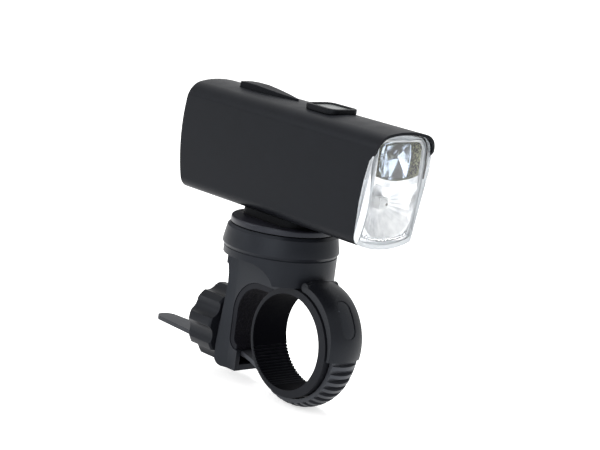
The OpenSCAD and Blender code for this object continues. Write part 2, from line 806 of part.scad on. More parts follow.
module charge_socket() {
    color("#b9bcc0") translate([usb_x, 0, usb_z]) difference() {
        rotate([90, 0, 90]) linear_extrude(7.3) round_rect(8.9, 3.2, 1.5);
        translate([-1, 0, 0]) rotate([90, 0, 90]) linear_extrude(6.2) difference() {
            round_rect(8.3, 2.6, 1.2);
            square([6.6, 0.7], center = true);
        }
    }
}

module tact_switch() {
    color("#6f7276") translate([switch_x, 0, board_z + board_t]) {
        translate([-3, -3, 0]) cube([6, 6, 3]);
        translate([0, 0, 3]) cylinder(r = 1.7, h = 0.5);
    }
}

module indicator_leds() {
    color("#9be07a") translate([window_x, 0, board_z + board_t])
        for (x = [-3.3, -1.1, 1.1, 3.3]) translate([x - 0.5, -0.8, 0]) cube([1, 1.6, 0.8]);
}

module light_guide() {
    color("#e8ecec") difference() {
        translate([window_x, 0, board_z + board_t]) linear_extrude(lamp_z1 - board_z - board_t - 0.05)
            round_rect(bezel_l - 2 * pane_inset - 2.6, bezel_w - 2 * pane_inset - 2.6, 1.2);
        translate([window_x - 4.2, -1.2, board_z + board_t - 1]) cube([8.4, 2.4, 2.2]);
        along_x(rear_x, front_x) difference() {
            translate([-20, lamp_z1 - 6]) square([40, 20]);
            lamp_2d(0);
        }
    }
}

module indicator_bezel() {
    color("#151617") difference() {
        translate([window_x, 0, lamp_z1 - 4]) linear_extrude(4 + bezel_h) difference() {
            round_rect(bezel_l, bezel_w, 3.2);
            round_rect(bezel_l - 2 * pane_inset, bezel_w - 2 * pane_inset, 2);
        }
        along_x(rear_x, front_x) lamp_2d(0);
    }
}

module indicator_pane() {
    color("#8d9a8f") difference() {
        translate([window_x, 0, lamp_z1 - 4]) linear_extrude(4 + bezel_h - 0.4)
            round_rect(bezel_l - 2 * pane_inset, bezel_w - 2 * pane_inset, 2);
        along_x(rear_x, front_x) lamp_2d(0);
    }
}

module power_button() {
    flange_z = lamp_z1 - wall - 2.2;
    color("#1f2022") {
        intersection() {
            translate([0, 0, flange_z]) linear_extrude(20) leaf_2d(0);
            along_y(40) polygon([[button_x - 1, flange_z], [button_x - 1, button_z - 0.3],
                [button_x + 4, button_z], [button_x + 9, button_z], [swivel_x + 1, lamp_z1 + 0.5],
                [swivel_x + 1, flange_z]]);
        }
        translate([0, 0, flange_z - 0.6]) linear_extrude(0.6) leaf_2d(0.9);
        translate([switch_x, 0, board_z + board_t + 3.5 + button_travel + 0.1])
            cylinder(r = 1.4, h = flange_z - board_z - board_t - 3.5 - button_travel - 0.2);
    }
}

module port_cover() {
    color("#1a1b1c") {
        intersection() {
            along_x(rear_x - 1, flap_x) translate([0, flap_z + flap_h / 2])
                square([flap_w, flap_h], center = true);
            rear_form(0);
        }
        intersection() {
            bar_y(flap_x, flap_z, flap_r, flap_w);
            rear_form(0);
        }
        along_x(flap_x - 0.1, flap_x + 1) translate([0, usb_z - 0.1]) round_rect(8.6, 2.6, 1.2);
    }
}

clamp_bracket();
saddle_pad();
handlebar_liner();
hinge_pin();
swivel_washer();
spring_washer();
strap_cover();
strap_inlay();
strap_band();
strap_tail();
tension_knob();
thread_coil();
turntable_disc();
mounting_shoe();
pivot_bolt();
pivot_nut();
housing_shell();
rear_cap();
cap_screws();
front_lens();
lens_seal();
main_reflector();
upper_baffle();
upper_collimator();
led_board();
main_led();
upper_led();
heat_sink();
battery_cell();
battery_cradle();
main_board();
charge_socket();
tact_switch();
indicator_leds();
light_guide();
indicator_bezel();
indicator_pane();
power_button();
port_cover();
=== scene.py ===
import json
from math import atan2, cos, hypot, pi, radians, sin

import bmesh
import bpy
from mathutils import Matrix, Vector

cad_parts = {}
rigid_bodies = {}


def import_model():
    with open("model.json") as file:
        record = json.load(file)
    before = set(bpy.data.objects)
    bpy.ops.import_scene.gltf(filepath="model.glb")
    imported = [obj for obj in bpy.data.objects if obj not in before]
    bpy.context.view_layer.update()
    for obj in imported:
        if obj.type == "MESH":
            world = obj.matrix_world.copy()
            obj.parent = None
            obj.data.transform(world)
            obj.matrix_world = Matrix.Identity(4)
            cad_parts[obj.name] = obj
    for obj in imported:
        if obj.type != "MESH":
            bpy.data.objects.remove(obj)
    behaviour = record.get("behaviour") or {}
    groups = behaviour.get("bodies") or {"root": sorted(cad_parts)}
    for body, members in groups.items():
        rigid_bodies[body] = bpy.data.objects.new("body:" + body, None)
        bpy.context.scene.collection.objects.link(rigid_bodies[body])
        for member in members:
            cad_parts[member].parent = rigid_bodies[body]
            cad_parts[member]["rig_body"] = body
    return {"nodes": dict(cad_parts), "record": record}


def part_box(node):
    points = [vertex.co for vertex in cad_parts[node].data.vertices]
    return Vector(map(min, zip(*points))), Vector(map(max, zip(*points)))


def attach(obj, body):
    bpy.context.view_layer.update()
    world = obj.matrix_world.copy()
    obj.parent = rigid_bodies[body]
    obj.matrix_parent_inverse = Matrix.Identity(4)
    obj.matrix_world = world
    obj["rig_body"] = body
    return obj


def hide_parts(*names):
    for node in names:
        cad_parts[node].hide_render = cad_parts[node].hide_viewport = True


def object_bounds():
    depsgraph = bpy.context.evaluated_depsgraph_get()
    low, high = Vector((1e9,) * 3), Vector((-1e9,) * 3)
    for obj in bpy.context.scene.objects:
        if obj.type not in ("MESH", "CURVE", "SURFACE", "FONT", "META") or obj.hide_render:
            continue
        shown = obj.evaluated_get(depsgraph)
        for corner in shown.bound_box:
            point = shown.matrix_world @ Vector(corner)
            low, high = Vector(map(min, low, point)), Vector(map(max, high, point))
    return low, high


# Looks of the bike headlight: moulded plastics, rubber, clear optics and metallised bowls
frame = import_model()
cad_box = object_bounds()
MM = 0.001
WELD = 0.001 * MM

# Camera of the photograph: angles in degrees, lengths in metres, lens and sensor in millimetres
AZIMUTH, ELEVATION, ROLL = 46.63, 11.26, -7.56
DISTANCE = 0.6585
AIM = Vector((-0.0082, 0, 0.03715))
LENS, SENSOR = 120, 36

# Studio: strengths for rays that see the glow and for the rest, and lamps with place, width and watts
WORLD_SEEN, WORLD_UNSEEN = 1.0, 0.6
FLOOR_TONE, FLOOR_GLOW = 0.9, 0.55
FLOOR_SIZE, FLOOR_GAP = 4, 0.3 * MM
LAMPS = {
    "top_lamp": ((-0.1, 0.15, 0.75), 0.6, 6),
    "side_lamp": ((-0.35, -0.6, 0.35), 0.5, 2),
    "front_lamp": ((0.3, -0.55, 0.2), 0.5, 2),
}

# Space behind the lens: its crowned front, and the sagging ledge between the two windows
LENS_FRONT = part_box("front_lens")[1].x
LENS_DEEP, CROWN_R = 2.2 * MM, 110 * MM
CROWN_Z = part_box("front_lens")[1].z - 10.1 * MM
LEDGE_SAG = 1.8 * MM

# Lower end of the visor at the sides of the lens, and the way its edge faces
HOUSING_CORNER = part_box("housing_shell")[1]
VISOR_END = Vector((HOUSING_CORNER.x - 2.6 * MM, 0, HOUSING_CORNER.z - 8.9 * MM))
VISOR_SLOPE = Vector((0.8, 0, -0.6))


# Finishes

COOL = (0.84, 0.91, 1.0, 1)
CLOUD = 7 * MM
CLOUD_LOW, CLOUD_HIGH = 0.3, 0.7


def new_finish(name, colour, rough, metallic=0.0, specular=0.5):
    """A material whose shader has these plain values, and that shader."""
    finish = bpy.data.materials.new(name)
    finish.use_nodes = True
    shader = finish.node_tree.nodes["Principled BSDF"]
    shader.inputs["Base Color"].default_value = (*colour, 1)
    shader.inputs["Roughness"].default_value = rough
    shader.inputs["Metallic"].default_value = metallic
    shader.inputs["Specular IOR Level"].default_value = specular
    return finish, shader


def object_place(tree, stretch=(1, 1, 1)):
    """Object coordinates, squeezed by stretch along each axis."""
    coordinates = tree.nodes.new("ShaderNodeTexCoord")
    mapping = tree.nodes.new("ShaderNodeMapping")
    mapping.inputs["Scale"].default_value = stretch
    tree.links.new(coordinates.outputs["Object"], mapping.inputs["Vector"])
    return mapping.outputs["Vector"]


def noise(tree, size, detail=3.0, stretch=(1, 1, 1)):
    """Cloudy value from 0 to 1 with patches about size metres wide."""
    node = tree.nodes.new("ShaderNodeTexNoise")
    node.inputs["Scale"].default_value = 1 / size
    node.inputs["Detail"].default_value = detail
    tree.links.new(object_place(tree, stretch), node.inputs["Vector"])
    return node.outputs["Fac"]


def cells(tree, size):
    """Distance to the nearest cell centre, with cells about size metres wide."""
    node = tree.nodes.new("ShaderNodeTexVoronoi")
    node.inputs["Scale"].default_value = 1 / size
    tree.links.new(object_place(tree), node.inputs["Vector"])
    return node.outputs["Distance"]


def tint(tree, shader, value, dark, pale, start=CLOUD_LOW, end=CLOUD_HIGH):
    """Colours the surface from dark to pale as value goes from start to end."""
    ramp = tree.nodes.new("ShaderNodeValToRGB")
    ramp.color_ramp.elements[0].position = start
    ramp.color_ramp.elements[0].color = (*dark, 1)
    ramp.color_ramp.elements[1].position = end
    ramp.color_ramp.elements[1].color = (*pale, 1)
    tree.links.new(value, ramp.inputs["Fac"])
    tree.links.new(ramp.outputs["Color"], shader.inputs["Base Color"])


def polish(tree, shader, value, least, most):
    """Roughness from least to most as value goes from its low to its high end."""
    span = tree.nodes.new("ShaderNodeMapRange")
    span.inputs["From Min"].default_value = CLOUD_LOW
    span.inputs["From Max"].default_value = CLOUD_HIGH
    span.inputs["To Min"].default_value = least
    span.inputs["To Max"].default_value = most
    tree.links.new(value, span.inputs["Value"])
    tree.links.new(span.outputs["Result"], shader.inputs["Roughness"])


def relief(tree, shader, value, depth):
    """Raises the surface by depth metres with value."""
    bump = tree.nodes.new("ShaderNodeBump")
    bump.inputs["Distance"].default_value = depth
    tree.links.new(value, bump.inputs["Height"])
    tree.links.new(bump.outputs["Normal"], shader.inputs["Normal"])


def shade(colour, factor):
    """The colour times factor, never past white."""
    return tuple(min(1.0, part * factor) for part in colour)


def moulded(name, colour, rough, grain=0.3 * MM, depth=0.012 * MM, specular=0.11, mottle=0.12):
    """Plastic or rubber with an eroded mould grain and a faint cloudy tone."""
    finish, shader = new_finish(name, colour, rough, specular=specular)
    shader.inputs["Specular Tint"].default_value = COOL
    tree = finish.node_tree
    cloud = noise(tree, CLOUD, 4)
    tint(tree, shader, cloud, shade(colour, 1 - mottle), shade(colour, 1 + mottle))
    polish(tree, shader, cloud, rough - 0.04, rough + 0.05)
    relief(tree, shader, noise(tree, grain, 2), depth)
    return finish


def pebbled(name, colour, rough, size, depth, metallic, specular=0.5):
    """Surface of small round pebbles, metallised or foamed."""
    finish, shader = new_finish(name, colour, rough, metallic, specular)
    tree = finish.node_tree
    tint(tree, shader, noise(tree, size * 2, 3), shade(colour, 0.6), shade(colour, 1.5))
    relief(tree, shader, cells(tree, size), depth)
    return finish


def glint_painted(name, dark, pale, rough, size):
    """Dark metallised pebbles with painted glints: pale specks painted into the colour."""
    finish, shader = new_finish(name, dark, rough, 0.5)
    tree = finish.node_tree
    # Painted glints: pale specks tinted into the base colour
    tint(tree, shader, noise(tree, size, 2), dark, pale, 0.45, 0.57)
    relief(tree, shader, cells(tree, size), size / 2)
    return finish


def metal(name, colour, rough, stretch=(1, 1, 1), grain=0.4 * MM):
    """Metal with fine drawn or milled lines."""
    finish, shader = new_finish(name, colour, rough, 1.0)
    tree = finish.node_tree
    lines = noise(tree, grain, 2, stretch)
    tint(tree, shader, noise(tree, 4 * MM, 3), shade(colour, 0.88), shade(colour, 1.08))
    polish(tree, shader, lines, rough - 0.07, rough + 0.1)
    relief(tree, shader, lines, 0.004 * MM)
    return finish


def clear(name, colour, rough, ior):
    """Clear moulded plastic with a faint flow waviness."""
    finish, shader = new_finish(name, colour, rough)
    shader.inputs["Transmission Weight"].default_value = 1.0
    shader.inputs["IOR"].default_value = ior
    tree = finish.node_tree
    wave = noise(tree, 5 * MM, 2)
    tint(tree, shader, wave, shade(colour, 0.97), colour)
    polish(tree, shader, noise(tree, 0.6 * MM, 2), rough, rough + 0.03)
    relief(tree, shader, wave, 0.02 * MM)
    return finish


def emitter(name, node):
    """White package with a small dark die in the middle of its front."""
    low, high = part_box(node)
    middle = Vector((high.x, (low.y + high.y) / 2, (low.z + high.z) / 2))
    package, die = (0.85, 0.86, 0.86), (0.13, 0.13, 0.12)
    die_r, soft_edge = 0.35 * MM, 0.25 * MM
    finish, shader = new_finish(name, package, 0.4)
    tree = finish.node_tree
    reach = tree.nodes.new("ShaderNodeVectorMath")
    reach.operation = "DISTANCE"
    reach.inputs[1].default_value = middle
    tree.links.new(object_place(tree), reach.inputs[0])
    span = tree.nodes.new("ShaderNodeMapRange")
    span.inputs["From Min"].default_value = die_r
    span.inputs["From Max"].default_value = die_r + soft_edge
    tree.links.new(reach.outputs["Value"], span.inputs["Value"])
    tint(tree, shader, span.outputs["Result"], die, package, 0.1, 0.9)
    relief(tree, shader, noise(tree, 0.2 * MM, 2), 0.01 * MM)
    return finish


def board(name, colour):
    """Circuit board: resist over fine tracks."""
    finish, shader = new_finish(name, colour, 0.35)
    tree = finish.node_tree
    tracks = noise(tree, 1.2 * MM, 1, (1, 6, 1))
    tint(tree, shader, tracks, colour, shade(colour, 1.7), 0.48, 0.52)
    relief(tree, shader, tracks, 0.03 * MM)
    return finish


HOUSING_BLACK = moulded("housing_black", (0.0046, 0.0050, 0.0066), 0.42, 0.22 * MM, 0.008 * MM, 0.1)
BRACKET_BLACK = moulded("bracket_black", (0.0085, 0.0094, 0.0122), 0.42, 0.35 * MM, 0.008 * MM, 0.14)
# Painted light: a glossier, slightly lighter copy of the bracket finish for the flat sides of the leg
LEG_GLOSS_AND_PAINTED_LIGHT = moulded("leg_gloss_and_painted_light", (0.0090, 0.0099, 0.0128), 0.42, 0.35 * MM, 0.008 * MM, 0.2)
KNOB_BLACK = moulded("knob_black", (0.0052, 0.0057, 0.0076), 0.36, 0.4 * MM, 0.01 * MM, 0.13)
COVER_BLACK = moulded("cover_black", (0.0060, 0.0065, 0.0085), 0.38, 0.35 * MM, 0.008 * MM, 0.18)
INLAY_BLACK = moulded("inlay_black", (0.0080, 0.0087, 0.0112), 0.38, 0.35 * MM, 0.008 * MM, 0.22)
STRAP_RUBBER = moulded("strap_rubber", (0.0130, 0.0138, 0.0170), 0.5, 0.25 * MM, 0.012 * MM, 0.24)
# Painted light: a lighter, glossier copy of the strap rubber for the ribbed band, standing in for the
# highlights on its ribs
BAND_RUBBER_PAINTED_LIGHT = moulded("band_rubber_painted_light", (0.0250, 0.0262, 0.0310), 0.46, 0.25 * MM, 0.012 * MM, 0.4)
LINER_RUBBER = moulded("liner_rubber", (0.0066, 0.0070, 0.0090), 0.48, 0.3 * MM, 0.012 * MM)
# Painted shade: a near-black copy of the liner rubber for the bore wall, standing in for the shade inside
# the ring
LINER_PAINTED_SHADE = moulded("liner_painted_shade", (0.0008, 0.0008, 0.0016), 0.7, 0.3 * MM, 0.012 * MM, 0.02)
DISC_SATIN = moulded("disc_satin", (0.0090, 0.0088, 0.0125), 0.36, 0.3 * MM, 0.006 * MM, 0.25)
SHOE_BLACK = moulded("shoe_black", (0.003, 0.003, 0.0035), 0.6, specular=0.08)
SEAL_RUBBER = moulded("seal_silicone", (0.72, 0.75, 0.78), 0.45)
BUTTON_RUBBER = moulded("button_rubber", (0.0042, 0.0046, 0.0060), 0.5, 0.25 * MM, 0.008 * MM, 0.08)
BEZEL_RUBBER = moulded("bezel_rubber", (0.0034, 0.0036, 0.0046), 0.45, 0.3 * MM, 0.006 * MM, 0.1)
PANE_SMOKE = moulded("pane_smoke", (0.036, 0.042, 0.04), 0.22, 0.8 * MM, 0.004 * MM, 0.5)
PLUG_RUBBER = moulded("plug_rubber", (0.008, 0.008, 0.009), 0.5)
CRADLE_BLACK = moulded("cradle_black", (0.012, 0.012, 0.013), 0.45)
SWITCH_GREY = moulded("switch_grey", (0.12, 0.125, 0.13), 0.4)
NYLON = moulded("washer_nylon", (0.62, 0.6, 0.54), 0.45)
SIGNAL = moulded("signal_lamp", (0.3, 0.62, 0.28), 0.3)
PAD_FOAM = pebbled("pad_foam", (0.0035, 0.0033, 0.0055), 0.75, 0.55 * MM, 0.18 * MM, 0.0, 0.08)
# Painted glints on the dark pebbles of the baffle
BAFFLE_DARK_PAINTED_GLINTS = glint_painted("baffle_dark_painted_glints", (0.010, 0.011, 0.004), (0.98, 1.0, 0.62), 0.25, 0.5 * MM)
REFLECTOR = pebbled("reflector_silver", (0.88, 0.91, 0.95), 0.3, 2.2 * MM, 0.03 * MM, 1.0)
MAIN_EMITTER = emitter("main_emitter", "main_led")
UPPER_EMITTER = emitter("upper_emitter", "upper_led")
PIN_BLACK = metal("blackened_pin", (0.012, 0.012, 0.014), 0.45)
# Painted light: opaque white standing in for light carried through the clear lens and for bright
# reflections on the walls behind it
WHITE_PAINTED_LIGHT = moulded("white_painted_light", (0.85, 0.88, 0.905), 0.4, 1.2 * MM, 0.02 * MM, 0.4, 0.1)
PAD_RIM = moulded("pad_rim", (0.0085, 0.0088, 0.0112), 0.6, 0.4 * MM, 0.03 * MM, 0.12)
SLEEVE = moulded("cell_sleeve", (0.03, 0.11, 0.32), 0.35)
STEEL = metal("zinc_steel", (0.55, 0.56, 0.58), 0.32)
DARK_STEEL = metal("dark_steel", (0.16, 0.163, 0.172), 0.34)
BRASS = metal("thread_brass", (0.55, 0.46, 0.3), 0.35)
SINK = metal("milled_aluminium", (0.62, 0.63, 0.65), 0.34, (1, 1, 8))
LENS_CLEAR = clear("lens_clear", (0.985, 0.995, 1.0), 0.01, 1.49)
OPTIC_CLEAR = clear("optic_clear", (0.91, 0.95, 1.0), 0.01, 1.49)
OPTIC_BACK = metal("optic_back", (0.81, 0.86, 0.925), 0.1, grain=2.4 * MM)
BOARD_GREEN = board("board_green", (0.02, 0.12, 0.045))


# Pieces

def finish_piece(bm, name, nodes, finish, sharp=32):
    """Turns a bmesh into a piece that replaces these nodes and rides on the first one's body."""
    mesh = bpy.data.meshes.new(name)
    bm.to_mesh(mesh)
    bm.free()
    mesh.materials.append(finish)
    mesh.shade_smooth()
    mesh.set_sharp_from_angle(angle=radians(sharp))
    piece = bpy.data.objects.new(name, mesh)
    bpy.context.scene.collection.objects.link(piece)
    even = piece.modifiers.new("even_shading", "WEIGHTED_NORMAL")
    even.keep_sharp = True
    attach(piece, frame["nodes"][nodes[0]]["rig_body"])
    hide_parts(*nodes)
    return piece


def repaint(piece, finish, chosen):
    """Gives one more finish to the faces that chosen accepts."""
    piece.data.materials.append(finish)
    for face in piece.data.polygons:
        if chosen(face):
            face.material_index = len(piece.data.materials) - 1


def node_copy(node):
    """A node's mesh with its triangles joined up and its flat faces whole."""
    bm = bmesh.new()
    bm.from_mesh(frame["nodes"][node].data)
    bmesh.ops.remove_doubles(bm, verts=bm.verts, dist=WELD)
    bmesh.ops.dissolve_limit(bm, angle_limit=radians(0.4), verts=bm.verts, edges=bm.edges)
    return bm


def round_edges(bm, width, segments=2, sharp=32, chosen=None):
    """Rounds the sharp edges that chosen accepts."""
    edges = [e for e in bm.edges if len(e.link_faces) == 2 and e.calc_face_angle() > radians(sharp)]
    edges = [e for e in edges if chosen is None or chosen(e)]
    bmesh.ops.bevel(bm, geom=edges, offset=width, offset_type="OFFSET", segments=segments, profile=0.5,
                    affect="EDGES", clamp_overlap=True, material=-1)
    bmesh.ops.dissolve_degenerate(bm, edges=bm.edges, dist=WELD / 2)


def moulding(node, name, finish, edge, segments=2, chosen=None):
    """The node's own shape with rounded edges."""
    bm = node_copy(node)
    round_edges(bm, edge, segments, chosen=chosen)
    return finish_piece(bm, name, [node], finish)


def new_verts(grown):
    """The vertices among what an extrusion made."""
    return [g for g in grown["geom"] if isinstance(g, bmesh.types.BMVert)]


def ring_pairs(ring):
    """Each vertex of a closed ring with the next one."""
    return zip(ring, ring[1:] + ring[:1])


def grown_ring(bm, ring):
    """Extrudes a closed ring of vertices and gives the new ring in the same order."""
    edges = [bm.edges.get(pair) for pair in ring_pairs(ring)]
    new = set(new_verts(bmesh.ops.extrude_edge_only(bm, edges=edges)))
    return [next(e.other_vert(v) for e in v.link_edges if e.other_vert(v) in new) for v in ring]


def closed_ring(bm, ring):
    """Fills a closed ring of vertices with one face."""
    edges = [bm.edges.get(pair) for pair in ring_pairs(ring)]
    return bmesh.ops.holes_fill(bm, edges=edges, sides=0)["faces"]


def turned_to_y():
    """Turns a shape drawn round Z so that it is drawn round Y."""
    return Matrix.Rotation(radians(90), 4, "X")


def grip_liner():
    """Liner ring, thicker in front, with fine grip teeth low behind, and painted shade on its bore wall.
    """
    low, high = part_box("handlebar_liner")
    width = high.y - low.y
    bore = frame["record"]["mounts"][0]["dims"]["r_mm"] * MM
    outer = (high.z - low.z) / 2
    shift = Matrix.Translation(((low.x + high.x) / 2, low.y, 0))
    steps, tooth_every = 360, 4
    tooth_from, tooth_to, tooth_deep = radians(-158), radians(-100), 0.5 * MM
    rim_round = 0.25 * MM
    bm = bmesh.new()
    inner = bmesh.ops.create_circle(bm, segments=steps, radius=bore, matrix=turned_to_y())["verts"]
    for k, vert in enumerate(inner):
        vert.co.y = low.y
        angle = atan2(vert.co.z, vert.co.x)
        if tooth_from < angle < tooth_to and k % tooth_every == 0:
            vert.co.x *= 1 + tooth_deep / bore
            vert.co.z *= 1 + tooth_deep / bore
    bmesh.ops.create_circle(bm, segments=steps, radius=outer, matrix=shift @ turned_to_y())
    bmesh.ops.bridge_loops(bm, edges=bm.edges)
    grown = bmesh.ops.extrude_face_region(bm, geom=bm.faces[:])
    bmesh.ops.translate(bm, verts=new_verts(grown), vec=(0, width, 0))
    bmesh.ops.recalc_face_normals(bm, faces=bm.faces)
    rim = [e for e in bm.edges if e.calc_face_angle(0) > radians(60)
           and abs(e.verts[0].co.y - e.verts[1].co.y) < 10 * WELD]
    bmesh.ops.bevel(bm, geom=rim, offset=rim_round, offset_type="OFFSET", segments=2, profile=0.5,
                    affect="EDGES", clamp_overlap=True, material=-1)
    liner = finish_piece(bm, "grip_liner", ["handlebar_liner"], LINER_RUBBER)

    def in_bore(face):
        """True on the wall that the bar touches, which is painted near-black as painted shade."""
        return face.normal.dot(Vector((face.center.x, 0, face.center.z))) < -0.6 * bore

    # The bore wall gets the painted shade
    repaint(liner, LINER_PAINTED_SHADE, in_bore)


def lens_back(y, z):
    """How far forward the space behind the lens reaches."""
    return LENS_FRONT - LENS_DEEP - (y * y + (z - CROWN_Z) ** 2) / (2 * CROWN_R)


def ledge_z(y, half, high):
    """Top of the sagging ledge between the two windows."""
    return high - LEDGE_SAG * (1 - (y / half) ** 2)


def reflector_bowl():
    """Fluted bowl that fills the lower window, up to the ledge under the upper window, with white painted
    light on its side walls.
    """
    low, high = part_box("main_reflector")
    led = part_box("main_led")
    centre = (led[0].z + led[1].z) / 2
    wall, overhang, brim = 0.6 * MM, 1.5 * MM, 0.999
    back = low.x + wall
    half, steps = (high.y - low.y) / 2, 96
    reach = half + overhang
    flutes, flute_deep, flute_from = 30, 0.12 * MM, 6 * MM
    bm = bmesh.new()
    bmesh.ops.create_grid(bm, x_segments=steps, y_segments=steps, size=1)
    for vert in bm.verts:
        u, v = vert.co.x, vert.co.y
        y = u * half
        top = ledge_z(y, half, high.z)
        z = low.z + (top - low.z) * (v + 1) / 2
        front = lens_back(y, z)
        r = hypot(y, z - centre)
        x = back + (front - back) * min(1, (r / reach) ** 2)
        turn = atan2(z - centre, y)
        wave = abs(sin(flutes * turn / 2)) * min(1, r / flute_from)
        x = min(front, x + flute_deep * wave)
        if max(abs(u), abs(v)) > brim:
            x = front
        vert.co = (x, y, z)
    border = [e for e in bm.edges if e.is_boundary]
    for vert in new_verts(bmesh.ops.extrude_edge_only(bm, edges=border)):
        vert.co.x = low.x
    bmesh.ops.holes_fill(bm, edges=[e for e in bm.edges if e.is_boundary], sides=0)
    bmesh.ops.recalc_face_normals(bm, faces=bm.faces)
    bowl = finish_piece(bm, "reflector_bowl", ["main_reflector"], REFLECTOR, 40)
    # Painted light: the side walls of the bowl are painted white
    repaint(bowl, WHITE_PAINTED_LIGHT, lambda face: abs(face.normal.x) < 0.05)


def spot_cavity():
    """Pebbled tray behind the upper window, with a tall bright sill over the ledge."""
    low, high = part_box("upper_baffle")
    half, top, steps, corner_steps = (high.y - low.y) / 2, high.z, 24, 6
    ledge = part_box("main_reflector")[1].z
    rim, sill, round_top, wall, gap = 0.7 * MM, 2.1 * MM, 3 * MM, 0.2 * MM, 0.05 * MM
    bottom, front_from = low.x + 0.6 * MM, low.x + 2 * MM

    def outline(inset, lift):
        """Points round the tray, drawn inset from its sides and top and lifted off the ledge."""
        wide, up, turn_r = half - inset, top - inset, round_top - inset
        points = []
        for k in range(steps + 1):
            y = wide * (2 * k / steps - 1)
            points.append((y, ledge_z(y, half, ledge) + gap + lift))
        for start, side in ((0, 1), (90, -1)):
            for k in range(corner_steps + 1):
                turn = radians(start + 90 * k / corner_steps)
                y = side * (wide - turn_r) + turn_r * cos(turn)
                points.append((y, up - turn_r + turn_r * sin(turn)))
        return points

    bm = bmesh.new()
    ring = [bm.verts.new((lens_back(y, z), y, z)) for y, z in outline(0, 0)]
    for pair in ring_pairs(ring):
        bm.edges.new(pair)
    ring = grown_ring(bm, ring)
    for vert, (y, z) in zip(ring, outline(rim, sill)):
        vert.co = (lens_back(y, z), y, z)
    ring = grown_ring(bm, ring)
    for vert in ring:
        vert.co.x = bottom
    closed_ring(bm, ring)
    bmesh.ops.recalc_face_normals(bm, faces=bm.faces)
    if max(bm.faces, key=lambda f: f.calc_area()).normal.x < 0:
        bmesh.ops.reverse_faces(bm, faces=bm.faces)
    bmesh.ops.solidify(bm, geom=bm.faces[:], thickness=wall)
    cavity = finish_piece(bm, "spot_cavity", ["upper_baffle"], BAFFLE_DARK_PAINTED_GLINTS, 40)
    middle = Vector((0, 0, (high.z + ledge) / 2))

    def in_front(face):
        """True on the bright rim round the mouth."""
        return face.normal.x > 0.7 and face.center.x > front_from

    def outside(face):
        """True on the outer walls, which are painted white as painted light."""
        return abs(face.normal.x) < 0.3 and face.normal.dot(face.center - middle) > 0

    repaint(cavity, REFLECTOR, in_front)
    # Painted light: the outer walls of the cavity are painted white
    repaint(cavity, WHITE_PAINTED_LIGHT, outside)


def faceted_collimator():
    """Clear upper optic: a rounded block with a faceted back and a ridged front."""
    low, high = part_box("upper_collimator")
    centre = (low.z + high.z) / 2
    gap, lens_gap, steps, squareness = 0.3 * MM, 0.9 * MM, 12, 6
    tall, wide = (high.z - low.z) / 2 - gap, 6.2 * MM
    front = lens_back(0, centre + tall) - lens_gap
    depth = front - low.x
    ridge = low.x + 0.1 * depth
    rings = [(0.98, 0.66), (1.0, 0.72), (1.0, 0.9), (0.92, 0.98)]
    near = Vector((ridge, -1.6 * MM, centre - 0.4 * MM))
    far = Vector((ridge, 2.2 * MM, centre + 1.0 * MM))
    peak = Vector((front, 0.5 * MM, centre + 0.8 * MM))

    def shape(ring, size, along):
        """Sets a ring to a rounded square of this share of the full size, along the depth."""
        for k, vert in enumerate(ring):
            turn = 2 * pi * (k + 0.5) / steps
            c, d = cos(turn), sin(turn)
            square = (abs(c) ** squareness + abs(d) ** squareness) ** (-1 / squareness)
            vert.co = (low.x + depth * along, wide * size * square * c, centre + tall * size * square * d)

    bm = bmesh.new()
    ring = bmesh.ops.create_circle(bm, segments=steps, radius=wide)["verts"]
    shape(ring, *rings[0])
    for vert in grown_ring(bm, ring):
        vert.co = far if vert.co.y > 0 else near
    for size, along in rings[1:]:
        ring = grown_ring(bm, ring)
        shape(ring, size, along)
    tip = bmesh.ops.poke(bm, faces=closed_ring(bm, ring))["verts"][0]
    tip.co = peak
    bmesh.ops.remove_doubles(bm, verts=bm.verts, dist=WELD)
    bmesh.ops.recalc_face_normals(bm, faces=bm.faces)
    optic = finish_piece(bm, "faceted_collimator", ["upper_collimator"], OPTIC_CLEAR, 8)
    repaint(optic, OPTIC_BACK, lambda face: face.normal.x < -0.1)


